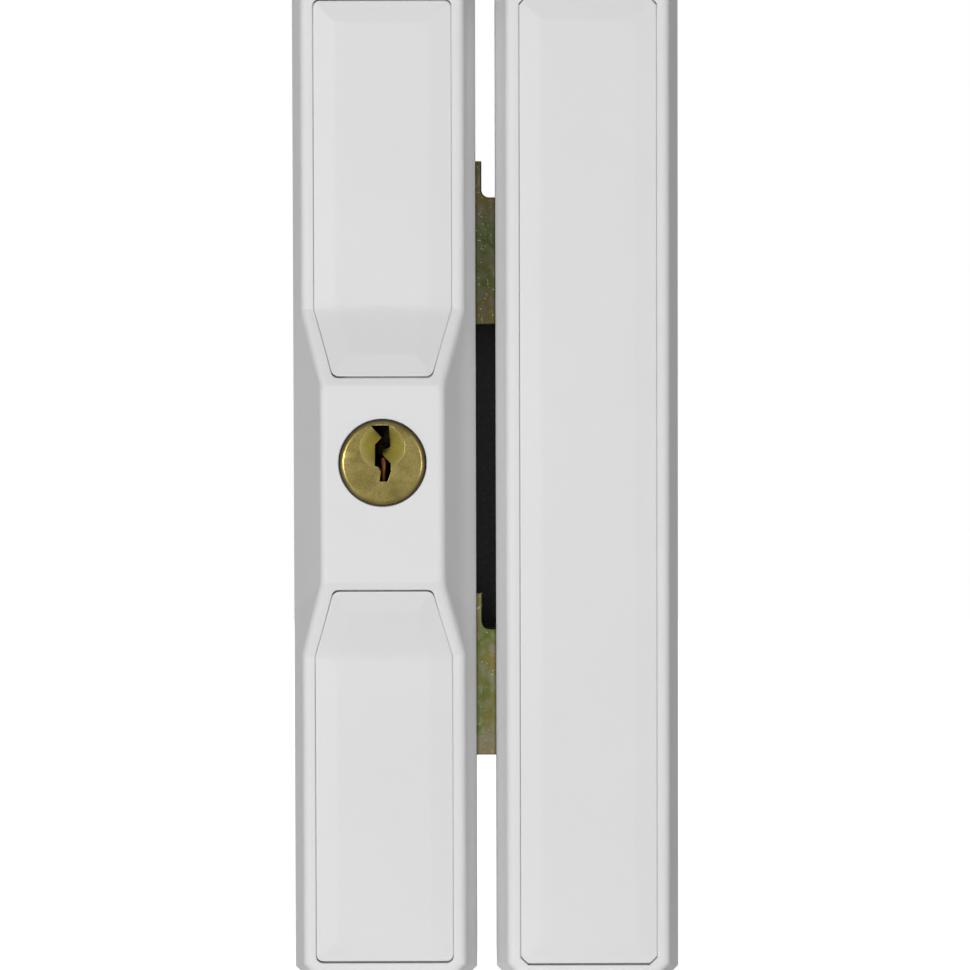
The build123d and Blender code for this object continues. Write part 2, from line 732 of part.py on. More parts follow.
# Carriage: a plate with the rack and the pads that carry the bolts
rack_pitch_height = cylinder_height - pitch_radius
rack_root_height = rack_pitch_height - gear_dedendum
rack_half_tooth = tooth_pitch / 4 - tooth_play
rack_lean = math.tan(pressure_angle)
carriage_inner_reach = half_width - case_wall - carriage_wall_gap
rack_tooth_count = int((rack_reach - tooth_pitch / 2) // tooth_pitch) + 1
bolt_pad_height = bolt_back_depth - carriage_front_depth
rivet_places = [(x, foot + rise) for foot in bolt_feet for x, rise in rivet_offsets]
with BuildPart() as bolt_carriage:
    with BuildSketch(level(carriage_back_depth)):
        with BuildLine():
            Polyline(
                (bolt_left, nose_foot),
                (nose_reach, nose_foot),
                (nose_reach, nose_top),
                (carriage_inner_reach, nose_top),
                (carriage_inner_reach, upper_bolt_foot + bolt_body_height - nose_margin),
                (bolt_left, upper_bolt_foot + bolt_body_height - nose_margin),
                close=True,
            )
        make_face()
        with Locations([(stud_x + throw / 2, height) for height in stud_heights]):
            SlotCenterToCenter(throw, 2 * (stud_radius + sliding_clearance), mode=Mode.SUBTRACT)
    extrude(amount=carriage_thickness)
    with BuildSketch(level(carriage_front_depth)):
        for foot in bolt_feet:
            with Locations((bolt_left, foot + nose_margin)):
                Rectangle(nose_reach - bolt_left, bolt_tongue_height - 2 * nose_margin, align=Align.MIN)
                Rectangle(
                    carriage_inner_reach - bolt_left,
                    bolt_body_height - 2 * nose_margin,
                    align=Align.MIN,
                )
    extrude(amount=bolt_pad_height)
    with BuildSketch(level(carriage_front_depth)):
        with Locations((bolt_left, rack_root_height - rack_foot)):
            Rectangle(rack_reach - bolt_left, rack_foot, align=Align.MIN)
        for index in range(rack_tooth_count):
            with Locations(((index + 0.5) * tooth_pitch, rack_pitch_height)):
                Polygon(
                    (-rack_half_tooth - gear_dedendum * rack_lean, -gear_dedendum),
                    (rack_half_tooth + gear_dedendum * rack_lean, -gear_dedendum),
                    (rack_half_tooth - rack_addendum * rack_lean, rack_addendum),
                    (-rack_half_tooth + rack_addendum * rack_lean, rack_addendum),
                    align=None,
                )
    extrude(amount=pinion_front_depth + rack_front_gap - carriage_front_depth)
    with Locations(level(bolt_back_depth)):
        with Locations(rivet_places):
            Hole(rivet_radius + screw_clearance)

# Bolts: two steel plates alike, each with a shoulder above its tongue
bolts = []
for foot in bolt_feet:
    with BuildPart() as bolt:
        with BuildSketch(level(bolt_back_depth)) as outline:
            with BuildLine():
                Polyline(
                    (bolt_left, foot),
                    (bolt_tip, foot),
                    (bolt_tip, foot + bolt_tongue_height),
                    (bolt_right, foot + bolt_tongue_height),
                    (bolt_right, foot + bolt_body_height),
                    (bolt_left, foot + bolt_body_height),
                    close=True,
                )
            make_face()
            fillet(outline.vertices().filter_by_position(Axis.X, bolt_tip, bolt_tip), bolt_tip_round)
            root = outline.vertices().filter_by_position(Axis.X, bolt_right, bolt_right)
            fillet(root.sort_by(Axis.Y)[0], bolt_root_round)
        extrude(amount=bolt_thickness)
        fillet(bolt.faces().sort_by(Axis.Y)[0].edges(), bolt_edge_round)
        with Locations(level(bolt_front_depth)):
            with Locations([place for place in rivet_places if 0 < place[1] - foot < bolt_body_height]):
                Hole(rivet_radius + screw_clearance)
    bolts.append(bolt)
upper_bolt, lower_bolt = bolts

with BuildPart() as bolt_rivets:
    for x, height in rivet_places:
        rivet_profile = [
            (0, carriage_back_depth + carriage_clearance),
            (rivet_radius, carriage_back_depth + carriage_clearance),
            (rivet_radius, bolt_front_depth),
            (rivet_head_radius, bolt_front_depth),
            (rivet_head_radius - head_bevel, bolt_front_depth + rivet_head_height / 2),
            (rivet_head_radius / 2, bolt_front_depth + rivet_head_height),
            (0, bolt_front_depth + rivet_head_height),
        ]
        add(turned(rivet_profile, x, height))

# Strike case: the same shell without the waist, with one long panel
panel_room = cut_for_cap(panel_stations, case_pitch, chamfer, panel_corner)
with BuildPart() as strike_housing:
    add(case_form(case_pitch, 0, 0, False))
    fillet(front_rim_edges(strike_housing), rim_round)
    add(case_form(case_pitch, case_wall, front_wall, False), mode=Mode.SUBTRACT)
    add(screw_bosses(case_pitch))
    add(panel_room, mode=Mode.SUBTRACT)
    add(cut_side_slots(wall_inside_strike), mode=Mode.SUBTRACT)
    add(case_screws(case_pitch, screw_clearance), mode=Mode.SUBTRACT)

with BuildPart() as strike_panel:
    add(cap_shell(panel_stations, case_pitch, chamfer, panel_corner, panel_rib_heights))

# Keeper: a steel angle whose windows hold the bolts, riveted to the strike's back plate
keeper_middle = (lower_bolt_foot + upper_bolt_foot + bolt_tongue_height) / 2
keeper_height = bolt_spacing + bolt_tongue_height + 2 * keeper_margin
keeper_rivet_places = [
    (keeper_right + keeper_foot_width / 2, keeper_middle + rise)
    for rise in (-keeper_height * 3 / 8, -keeper_height / 8, keeper_height / 8, keeper_height * 3 / 8)
]
with BuildPart() as strike_keeper:
    with BuildSketch(level(plate_thickness)):
        with Locations((keeper_left, keeper_middle)):
            Rectangle(keeper_thickness, keeper_height, align=(Align.MIN, Align.CENTER))
    extrude(amount=keeper_depth - plate_thickness)
    with BuildSketch(level(plate_thickness)):
        with Locations((keeper_left, keeper_middle)):
            Rectangle(
                keeper_thickness + keeper_foot_width, keeper_height, align=(Align.MIN, Align.CENTER)
            )
    extrude(amount=keeper_foot_thickness)
    with BuildSketch(Plane.YZ.offset(keeper_left)):
        for foot in bolt_feet:
            with Locations((-(bolt_back_depth + bolt_front_depth) / 2, foot - bolt_clearance)):
                Rectangle(
                    bolt_thickness + 2 * bolt_clearance,
                    bolt_tongue_height + 2 * bolt_clearance,
                    align=(Align.CENTER, Align.MIN),
                )
    extrude(amount=keeper_thickness, mode=Mode.SUBTRACT)
    with Locations(level(plate_thickness + keeper_foot_thickness)):
        with Locations(keeper_rivet_places):
            Hole(keeper_rivet_radius + screw_clearance)

with BuildPart() as strike_back_plate:
    add(back_plate(case_pitch))
    with Locations(level(plate_thickness)):
        with Locations(keeper_rivet_places):
            Hole(keeper_rivet_radius + screw_clearance)

with BuildPart() as keeper_rivets:
    rivet_seat = plate_thickness + keeper_foot_thickness
    for x, height in keeper_rivet_places:
        rivet_profile = [
            (0, screw_clearance),
            (keeper_rivet_radius, screw_clearance),
            (keeper_rivet_radius, rivet_seat),
            (keeper_rivet_head_radius, rivet_seat),
            (keeper_rivet_head_radius / 2, rivet_seat + keeper_rivet_head_height),
            (0, rivet_seat + keeper_rivet_head_height),
        ]
        add(turned(rivet_profile, x, height))

with BuildPart() as strike_case_screws:
    add(case_screws(case_pitch, 0))

pieces = {
    "lock_housing": lock_housing,
    "upper_cover": upper_cover,
    "lower_cover": lower_cover,
    "lock_back_plate": lock_back_plate,
    "guide_studs": guide_studs,
    "lock_case_screws": lock_case_screws,
    "cylinder_barrel": cylinder_barrel,
    "chamber_cap": chamber_cap,
    "cylinder_plug": cylinder_plug,
    "key_pins": key_pins,
    "driver_pins": driver_pins,
    "pin_springs": pin_springs,
    "plug_clip": plug_clip,
    "barrel_clamp": barrel_clamp,
    "clamp_screws": clamp_screws,
    "drive_pinion": drive_pinion,
    "pinion_screw": pinion_screw,
    "bolt_carriage": bolt_carriage,
    "upper_bolt": upper_bolt,
    "lower_bolt": lower_bolt,
    "bolt_rivets": bolt_rivets,
    "strike_housing": strike_housing,
    "strike_panel": strike_panel,
    "strike_back_plate": strike_back_plate,
    "strike_keeper": strike_keeper,
    "keeper_rivets": keeper_rivets,
    "strike_case_screws": strike_case_screws,
}
os.makedirs("parts", exist_ok=True)
for name, piece in pieces.items():
    piece.part.label = name
    export_step(piece.part, f"parts/{name}.step")
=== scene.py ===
# %% [markdown]
# # A two-bolt window lock
#
# The real piece is a surface lock for a window. A powder-coated zinc case sits on the sash,
# with a brass key cylinder in its raised waist and two snap-in plastic covers over the fixing
# screws. A second case sits on the frame and takes two yellow-chromated steel bolts.
#
# The CAD part gives every size and every joint. This scene adds what the eye also sees on the
# real piece: soft edges, surface textures, metals, light and the camera's place. It could all
# be painted on with image textures, but solid procedural patterns hold at any distance and
# from any side, so they are used throughout.

# %% Load the CAD part
import json
from math import pi, radians

import bmesh
import bpy
import numpy as np
from mathutils import Matrix, Vector


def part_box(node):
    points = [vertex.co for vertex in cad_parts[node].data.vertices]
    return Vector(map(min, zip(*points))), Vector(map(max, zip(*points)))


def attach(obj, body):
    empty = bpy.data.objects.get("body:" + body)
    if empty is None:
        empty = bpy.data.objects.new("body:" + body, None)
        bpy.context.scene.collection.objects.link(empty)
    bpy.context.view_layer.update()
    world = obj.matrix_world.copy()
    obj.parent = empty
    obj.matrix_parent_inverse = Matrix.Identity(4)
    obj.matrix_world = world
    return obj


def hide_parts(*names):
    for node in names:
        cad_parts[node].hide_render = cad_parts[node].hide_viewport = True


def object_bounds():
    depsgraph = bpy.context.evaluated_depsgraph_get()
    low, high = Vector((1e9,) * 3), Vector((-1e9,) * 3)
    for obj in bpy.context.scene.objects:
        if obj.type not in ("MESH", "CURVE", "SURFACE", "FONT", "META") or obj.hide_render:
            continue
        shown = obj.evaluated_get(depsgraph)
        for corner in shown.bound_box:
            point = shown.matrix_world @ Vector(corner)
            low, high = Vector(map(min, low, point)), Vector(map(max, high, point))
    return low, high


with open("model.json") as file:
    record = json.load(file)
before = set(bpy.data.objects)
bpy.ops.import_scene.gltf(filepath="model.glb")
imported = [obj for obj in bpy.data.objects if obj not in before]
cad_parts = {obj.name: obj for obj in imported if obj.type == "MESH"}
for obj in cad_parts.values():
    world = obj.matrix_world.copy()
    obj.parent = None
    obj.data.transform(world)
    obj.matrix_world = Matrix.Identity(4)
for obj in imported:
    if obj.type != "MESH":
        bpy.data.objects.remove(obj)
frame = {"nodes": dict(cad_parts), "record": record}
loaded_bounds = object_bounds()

mm = 0.001
merge_distance = 1e-6
scene = bpy.context.scene
print(len(frame["nodes"]), "CAD nodes, corners in mm:")
for corner in loaded_bounds:
    print([round(value / mm, 1) for value in corner])


# %% [markdown]
# ## Shader helpers
#
# Colours are written as sRGB hex, the way they are measured from a photograph, and one
# function turns them into the linear values that Blender mixes. Patterns are given by the
# size of their features in millimetres. They all use object coordinates, so they are solid:
# they run through the piece and need no unwrapping.

# %% Colour, pattern size and shader nodes
def linear(code):
    """Linear RGBA of a hex code: c / 12.92 below 0.04045, else ((c + 0.055) / 1.055) ** 2.4."""
    srgb = np.array([int(code[start:start + 2], 16) for start in (1, 3, 5)]) / 255
    rgb = np.where(srgb < 0.04045, srgb / 12.92, ((srgb + 0.055) / 1.055) ** 2.4)
    return (*rgb.tolist(), 1.0)


def per(size):
    """Texture scale of a pattern whose features are size millimetres."""
    return 1 / (size * mm)


def add_node(tree, kind, inputs, **settings):
    """Adds a shader node. inputs maps sockets to a value or to an output that is linked."""
    node = tree.nodes.new("ShaderNode" + kind)
    for name, value in settings.items():
        setattr(node, name, value)
    for key, value in inputs.items():
        if isinstance(value, bpy.types.NodeSocket):
            tree.links.new(value, node.inputs[key])
        else:
            node.inputs[key].default_value = value
    return node


def start_finish(name):
    """A new material named after its finish: returns it, its tree, its place output, its shader."""
    made = bpy.data.materials.new(name)
    made.use_nodes = True
    tree = made.node_tree
    tree.nodes.clear()
    shader = add_node(tree, "BsdfPrincipled", {})
    add_node(tree, "OutputMaterial", {"Surface": shader.outputs[0]})
    return made, tree, add_node(tree, "TexCoord", {}).outputs["Object"], shader


print("white as written", linear("#dedfe0")[:3])


# %% [markdown]
# ## White powder coat
#
# Both cases are zinc die castings under a white polyester powder coat. The powder melts and
# flows in the oven, so it hides tool marks and leaves a faint orange peel, about a millimetre
# across and a hundredth deep. The sheen is satin: highlights are broad, never mirror-like.

# %% Powder coat
coat, tree, place, shader = start_finish("white_powder_coat_on_zinc")
peel = add_node(tree, "TexNoise", {"Vector": place, "Scale": per(0.9), "Detail": 2.0})
edge = add_node(tree, "Bevel", {"Radius": 0.4 * mm}, samples=6)
bump = add_node(
    tree, "Bump",
    {"Strength": 0.3, "Distance": 0.012 * mm, "Height": peel.outputs[0], "Normal": edge.outputs[0]},
)
cloud = add_node(tree, "TexNoise", {"Vector": place, "Scale": per(14.0), "Detail": 1.0})
tone = add_node(tree, "MixRGB", {0: cloud.outputs[0], 1: linear("#dddddd"), 2: linear("#e0e0e0")})
tree.links.new(tone.outputs[0], shader.inputs["Base Color"])
tree.links.new(bump.outputs[0], shader.inputs["Normal"])
shader.inputs["Roughness"].default_value = 0.55
shader.inputs["Specular IOR Level"].default_value = 0.12

# %% [markdown]
# ## White moulded plastic
#
# The covers and the panel are injection-moulded ABS, a touch glossier and greyer than the
# cases. The mould's spark-eroded steel leaves a grain of a few tenths of a millimetre.

# %% Moulded plastic
plastic, tree, place, shader = start_finish("white_moulded_abs")
grain = add_node(tree, "TexNoise", {"Vector": place, "Scale": per(0.35), "Detail": 3.0})
bump = add_node(tree, "Bump", {"Strength": 0.2, "Distance": 0.006 * mm, "Height": grain.outputs[0]})
cloud = add_node(tree, "TexNoise", {"Vector": place, "Scale": per(20.0), "Detail": 1.0})
tone = add_node(tree, "MixRGB", {0: cloud.outputs[0], 1: linear("#d8d8d8"), 2: linear("#dbdbdb")})
tree.links.new(tone.outputs[0], shader.inputs["Base Color"])
tree.links.new(bump.outputs[0], shader.inputs["Normal"])
shader.inputs["Roughness"].default_value = 0.5
shader.inputs["Specular IOR Level"].default_value = 0.35

# %% [markdown]
# ## Brass
#
# The plug and the barrel are turned from leaded brass and left bare. Handling dulls it to
# olive in soft patches, and the cutting tool leaves marks that are finer than they can be
# drawn here, so a grain of a quarter of a millimetre stands for them. Edges catch the light
# because a Bevel node rounds them in the shading. Painted shade darkens what lies deep, such
# as the keyway: the less of the sky a point sees within a few millimetres, the darker it is.
# A painted shadow also fills the ring gap round the plug's head and blackens its last quarter
# millimetre.

# %% Brass
cylinder_height = 3.35
# Radii and depths where the painted shadow in the ring gap starts and where it is full.
rim_shade_start_radius, rim_shade_full_radius = 6.4, 6.65
gap_shade_full_depth, gap_shade_start_depth = 32.5, 32.0
brass, tree, place, shader = start_finish("turned_leaded_brass")
patch = add_node(tree, "TexNoise", {"Vector": place, "Scale": per(2.2), "Detail": 4.0})
ramp = add_node(tree, "MapRange", {0: patch.outputs[0], 1: 0.35, 2: 0.65})
handled_brass = add_node(tree, "MixRGB", {0: ramp.outputs[0], 1: linear("#60562f"), 2: linear("#766a3f")})
# Painted shade: the less sky a point sees within 2.5 mm, the darker its colour.
open_sky = add_node(tree, "AmbientOcclusion", {"Distance": 2.5 * mm}, samples=6)
painted_shade = add_node(tree, "MapRange", {0: open_sky.outputs["AO"], 1: 0.5, 2: 0.85})
shaded_brass = add_node(
    tree, "MixRGB", {0: painted_shade.outputs[0], 1: linear("#16110c"), 2: handled_brass.outputs[0]},
)
# Painted shadow: the ring gap round the plug's head is mixed to near black.
flat = add_node(
    tree, "Mapping", {0: place, "Location": (0, 0, -cylinder_height * mm), "Scale": (1, 0, 1)},
)
radius = add_node(tree, "VectorMath", {0: flat.outputs[0]}, operation="LENGTH")
rim = add_node(
    tree, "MapRange",
    {0: radius.outputs["Value"], 1: rim_shade_start_radius * mm, 2: rim_shade_full_radius * mm},
)
axes = add_node(tree, "SeparateXYZ", {0: place})
head = add_node(
    tree, "MapRange",
    {0: axes.outputs["Y"], 1: -gap_shade_start_depth * mm, 2: -gap_shade_full_depth * mm, 4: 0.85},
)
gap = add_node(tree, "Math", {0: rim.outputs[0], 1: head.outputs[0]}, operation="MULTIPLY")
tone = add_node(tree, "MixRGB", {0: gap.outputs[0], 1: shaded_brass.outputs[0], 2: linear("#16110c")})
speck = add_node(tree, "TexNoise", {"Vector": place, "Scale": per(0.25), "Detail": 2.0})
shine = add_node(tree, "MapRange", {0: speck.outputs[0], 1: 0.3, 2: 0.7, 3: 0.24, 4: 0.38})
edge = add_node(tree, "Bevel", {"Radius": 0.12 * mm}, samples=6)
bump = add_node(
    tree, "Bump",
    {"Strength": 0.25, "Distance": 0.01 * mm,
     "Height": speck.outputs[0], "Normal": edge.outputs[0]},
)
tree.links.new(tone.outputs[0], shader.inputs["Base Color"])
tree.links.new(shine.outputs[0], shader.inputs["Roughness"])
tree.links.new(bump.outputs[0], shader.inputs["Normal"])
shader.inputs["Metallic"].default_value = 1.0

# %% [markdown]
# Fingers never reach the countersink of the keyway, so it keeps the colour of fresh brass.
# Its walls mirror each other, which darkens it again. A soft noise lets its tone drift.

# %% Fresh brass
fresh_brass, tree, place, shader = start_finish("freshly_drilled_brass")
sheen = add_node(tree, "TexNoise", {"Vector": place, "Scale": per(1.2), "Detail": 3.0})
tone = add_node(tree, "MixRGB", {0: sheen.outputs[0], 1: linear("#988f56"), 2: linear("#b3aa72")})
tree.links.new(tone.outputs[0], shader.inputs["Base Color"])
shader.inputs["Metallic"].default_value = 1.0
shader.inputs["Roughness"].default_value = 0.27

# %% [markdown]
# ## Copper-coloured pins
#
# The pins are drawn phosphor bronze. Drawing leaves fine lines along the wire, here along Z.

# %% Bronze
bronze, tree, place, shader = start_finish("drawn_phosphor_bronze")
stretch = add_node(tree, "Mapping", {0: place, "Scale": (1.0, 1.0, 0.08)})
lines = add_node(tree, "TexNoise", {"Vector": stretch.outputs[0], "Scale": per(0.2), "Detail": 2.0})
tone = add_node(tree, "MixRGB", {0: lines.outputs[0], 1: linear("#5e3a24"), 2: linear("#8c5a3c")})
tree.links.new(tone.outputs[0], shader.inputs["Base Color"])
shader.inputs["Metallic"].default_value = 1.0
shader.inputs["Roughness"].default_value = 0.3

# %% [markdown]
# ## Yellow chromate
#
# The bolts are stamped steel plates, zinc plated and yellow passivated. The chromate film is
# a fraction of a micrometre thick and interferes with light, so its colour wanders between
# olive, gold, green and a pinkish grey within a few millimetres. Two noises mix those four
# tones. Stamping and assembly leave scratches and flecks of bare zinc, and the edges get a
# painted highlight in the same pale colour. An edge is found by looking inwards: near it the
# other face is soon hit. The tone grows paler from top to bottom, so the lower plate comes
# out paler. Painted shade darkens the hollows within a millimetre.

# %% Chromate
chromate, tree, place, shader = start_finish("yellow_chromated_zinc_plate")
drift = add_node(tree, "TexNoise", {"Vector": place, "Scale": per(6.0), "Detail": 4.0})
blot = add_node(tree, "TexNoise", {"Vector": place, "Scale": per(1.6), "Detail": 5.0})
wide = add_node(tree, "MapRange", {0: drift.outputs[0], 1: 0.4, 2: 0.6})
small = add_node(tree, "MapRange", {0: blot.outputs[0], 1: 0.42, 2: 0.62})
warm = add_node(tree, "MixRGB", {0: wide.outputs[0], 1: linear("#555a2c"), 2: linear("#716639")})
cool = add_node(tree, "MixRGB", {0: wide.outputs[0], 1: linear("#64704a"), 2: linear("#736b5a")})
tone = add_node(tree, "MixRGB", {0: small.outputs[0], 1: warm.outputs[0], 2: cool.outputs[0]})
axes = add_node(tree, "SeparateXYZ", {0: place})
# The tone is scaled darker towards the top and paler towards the bottom.
paler_downwards = add_node(tree, "MapRange", {0: axes.outputs["Z"], 1: 20 * mm, 2: -20 * mm, 3: 0.62, 4: 1.35})
height_tone = add_node(
    tree, "VectorMath", {0: tone.outputs[0], "Scale": paler_downwards.outputs[0]}, operation="SCALE",
)
stretch = add_node(tree, "Mapping", {0: place, "Rotation": (0, 0.5, 0), "Scale": (1.0, 1.0, 0.12)})
scratch = add_node(
    tree, "TexNoise", {"Vector": stretch.outputs[0], "Scale": per(0.45), "Detail": 5.0},
)
fleck = add_node(tree, "TexNoise", {"Vector": place, "Scale": per(0.35), "Detail": 1.0})
lines = add_node(tree, "MapRange", {0: scratch.outputs[0], 1: 0.66, 2: 0.76, 4: 0.7})
flecks = add_node(tree, "MapRange", {0: fleck.outputs[0], 1: 0.7, 2: 0.76, 4: 0.8})
# Painted highlight: edges found by the inward look are mixed to pale zinc, like the scratches.
inwards = add_node(tree, "AmbientOcclusion", {"Distance": 0.35 * mm}, samples=6, inside=True)
edges = add_node(tree, "MapRange", {0: inwards.outputs["AO"], 1: 0.85, 2: 0.55, 4: 0.75})
bare_zinc_and_edge_highlight = add_node(tree, "Math", {0: lines.outputs[0], 1: flecks.outputs[0]}, operation="MAXIMUM")
bare_zinc_and_edge_highlight = add_node(tree, "Math", {0: bare_zinc_and_edge_highlight.outputs[0], 1: edges.outputs[0]}, operation="MAXIMUM")
worn_and_highlit = add_node(
    tree, "MixRGB", {0: bare_zinc_and_edge_highlight.outputs[0], 1: height_tone.outputs[0], 2: linear("#c4c4b0")},
)
# Painted shade: darker where little sky is seen within 0.8 mm.
open_sky = add_node(tree, "AmbientOcclusion", {"Distance": 0.8 * mm}, samples=6)
painted_shade = add_node(tree, "MapRange", {0: open_sky.outputs["AO"], 1: 0.45, 2: 0.85})
tone = add_node(tree, "MixRGB", {0: painted_shade.outputs[0], 1: linear("#1c1d10"), 2: worn_and_highlit.outputs[0]})
edge = add_node(tree, "Bevel", {"Radius": 0.15 * mm}, samples=6)
bump = add_node(
    tree, "Bump",
    {"Strength": 0.35, "Distance": 0.012 * mm,
     "Height": blot.outputs[0], "Normal": edge.outputs[0]},
)
tree.links.new(tone.outputs[0], shader.inputs["Base Color"])
tree.links.new(bump.outputs[0], shader.inputs["Normal"])
shader.inputs["Metallic"].default_value = 0.85
shader.inputs["Roughness"].default_value = 0.38

# %% [markdown]
# ## Black nylon
#
# The carriage is glass-filled nylon: black, with pale fibre ends that show as a fine speckle.

# %% Glass-filled nylon
nylon, tree, place, shader = start_finish("black_glass_filled_nylon")
fibre = add_node(tree, "TexNoise", {"Vector": place, "Scale": per(0.3), "Detail": 3.0})
ends = add_node(tree, "MapRange", {0: fibre.outputs[0], 1: 0.55, 2: 0.8})
tone = add_node(tree, "MixRGB", {0: ends.outputs[0], 1: linear("#202122"), 2: linear("#424345")})
bump = add_node(tree, "Bump", {"Strength": 0.3, "Distance": 0.01 * mm, "Height": fibre.outputs[0]})
tree.links.new(tone.outputs[0], shader.inputs["Base Color"])
tree.links.new(bump.outputs[0], shader.inputs["Normal"])
shader.inputs["Roughness"].default_value = 0.5

# %% [markdown]
# ## Steel
#
# The plates, the keeper and the clamp are clear zinc plated: bluish grey with faint crystals
# of a few millimetres. Studs, rivets, screws and the pinion are turned, and brighter. The
# springs are drawn wire.

# %% Zinc plate, turned steel and spring wire
zinc, tree, place, shader = start_finish("clear_zinc_plated_steel")
spangle = add_node(tree, "TexVoronoi", {"Vector": place, "Scale": per(3.0)}, feature="SMOOTH_F1")
cell = add_node(tree, "SeparateColor", {0: spangle.outputs["Color"]})
tone = add_node(tree, "MixRGB", {0: cell.outputs[0], 1: linear("#9ea3a8"), 2: linear("#b3b8bb")})
shine = add_node(tree, "MapRange", {0: cell.outputs[1], 3: 0.3, 4: 0.42})
edge = add_node(tree, "Bevel", {"Radius": 0.15 * mm}, samples=6)
tree.links.new(tone.outputs[0], shader.inputs["Base Color"])
tree.links.new(shine.outputs[0], shader.inputs["Roughness"])
tree.links.new(edge.outputs[0], shader.inputs["Normal"])
shader.inputs["Metallic"].default_value = 1.0

steel, tree, place, shader = start_finish("turned_bright_zinc_steel")
turned = add_node(tree, "TexNoise", {"Vector": place, "Scale": per(0.25), "Detail": 3.0})
tone = add_node(tree, "MixRGB", {0: turned.outputs[0], 1: linear("#a8a9aa"), 2: linear("#c6c7c8")})
shine = add_node(tree, "MapRange", {0: turned.outputs[0], 1: 0.3, 2: 0.7, 3: 0.18, 4: 0.3})
edge = add_node(tree, "Bevel", {"Radius": 0.1 * mm}, samples=6)
tree.links.new(tone.outputs[0], shader.inputs["Base Color"])
tree.links.new(shine.outputs[0], shader.inputs["Roughness"])
tree.links.new(edge.outputs[0], shader.inputs["Normal"])
shader.inputs["Metallic"].default_value = 1.0

wire, tree, place, shader = start_finish("drawn_spring_wire")
drawn = add_node(tree, "TexNoise", {"Vector": place, "Scale": per(0.15), "Detail": 2.0})
tone = add_node(tree, "MixRGB", {0: drawn.outputs[0], 1: linear("#8f9194"), 2: linear("#b4b6b8")})
tree.links.new(tone.outputs[0], shader.inputs["Base Color"])
shader.inputs["Metallic"].default_value = 1.0
shader.inputs["Roughness"].default_value = 0.22

# %% [markdown]
# ## Dressing the CAD pieces
#
# The record says which material slot each piece of the real lock belongs to. Each piece could
# be given its finish by hand, but going by the slots dresses all of them in one loop.

# %% Each CAD node takes the finish of its slot
finishes = {
    "case_coat": coat,
    "cap_plastic": plastic,
    "brass": brass,
    "bronze": bronze,
    "bolt_plating": chromate,
    "carriage_plastic": nylon,
    "plated_steel": zinc,
    "bright_steel": steel,
    "spring_steel": wire,
}
node_slots = {part["node"]: part["material_slot"] for part in frame["record"]["subparts"]}
for node, slot_name in node_slots.items():
    materials = frame["nodes"][node].data.materials
    materials.clear()
    materials.append(finishes[slot_name])
print(len(node_slots), "nodes dressed in", len(finishes), "finishes")


# %% [markdown]
# ## Snap-in covers
#
# Three injection-moulded caps close the screw pockets. Each has a low bevel all round that
# rises to a flat middle, and edges that the mould rounds to about half a millimetre, so the
# seam reads as a soft groove. The two lock covers also fold where the case climbs to its waist.
#
# A cap is a family of rings: each ring is the cap's outline moved inwards by some inset and
# brought to some height. A list of insets and rises is the section of the moulding, and
# carrying it round the outline gives the hollow shell, inside and outside in one surface.

# %% Rings round an outline
def ring(corners, radii, steps, inset, flat=0.0):
    """One closed ring: the outline's sides moved inwards by inset, with an arc at each corner.

    An arc's centre is where the corner's two sides cross when both are moved in by inset plus
    the arc's radius. Straight runs between the arcs are divided into steps. flat draws the
    arcs towards their chords, which makes a corner a chamfer with soft ends."""
    sides = np.roll(corners, -1, axis=0) - corners
    sides = sides / np.linalg.norm(sides, axis=1, keepdims=True)
    normals = np.stack([sides[:, 1], -sides[:, 0]], axis=1)
    before = np.roll(normals, 1, axis=0)
    arc_radii = np.maximum(radii - inset, least_corner)
    reach = np.stack([(before * corners).sum(1), (normals * corners).sum(1)], axis=1)
    reach = reach - (inset + arc_radii)[:, None]
    centres = np.linalg.solve(np.stack([before, normals], axis=1), reach[..., None])[..., 0]
    start = np.arctan2(before[:, 1], before[:, 0])
    turn = before[:, 0] * normals[:, 1] - before[:, 1] * normals[:, 0]
    sweep = np.arctan2(turn, (before * normals).sum(1))
    angles = start[:, None] + sweep[:, None] * np.linspace(0, 1, arc_points)
    spokes = np.stack([np.cos(angles), np.sin(angles)], axis=2)
    arcs = centres[:, None] + arc_radii[:, None, None] * spokes
    chord_share = np.linspace(0, 1, arc_points)[:, None]
    chords = arcs[:, :1] + chord_share * (arcs[:, -1:] - arcs[:, :1])
    arcs = arcs + flat * (chords - arcs)
    pieces = []
    for index, count in enumerate(steps):
        first, last = arcs[index, -1], arcs[(index + 1) % len(corners), 0]
        share = np.linspace(0, 1, count + 1)[1:-1, None]
        pieces += [arcs[index], first + share * (last - first)]
    return np.concatenate(pieces)


def grid_faces(rows, columns):
    """The quads of a grid of points whose last column joins the first."""
    row, column = np.meshgrid(np.arange(rows - 1), np.arange(columns), indexing="ij")
    after = (column + 1) % columns
    quads = (row * columns + column, row * columns + after,
             (row + 1) * columns + after, (row + 1) * columns + column)
    return np.stack(quads, axis=-1).reshape(-1, 4)


def ringed_shell(corners, radii, steps, section, front, middle=0.0, flat=0.0):
    """A closed surface through rings. Each row of the section is an inset, a rise above the
    front and a fill, which draws the ring's points straight towards its spine: the part of the
    middle line that lies at least half a width from both ends."""
    rings = []
    for inset, rise, fill in section:
        plan = ring(corners, radii, steps, inset, flat)
        half = np.abs(plan[:, 0] - middle).max()
        spine = np.clip(plan[:, 1], plan[:, 1].min() + half, plan[:, 1].max() - half)
        across = middle + (plan[:, 0] - middle) * (1 - fill)
        heights = plan[:, 1] + (spine - plan[:, 1]) * fill
        rings.append(np.stack([across, front(heights) + rise, heights], axis=1))
    return np.concatenate(rings), grid_faces(len(section), len(rings[0]))


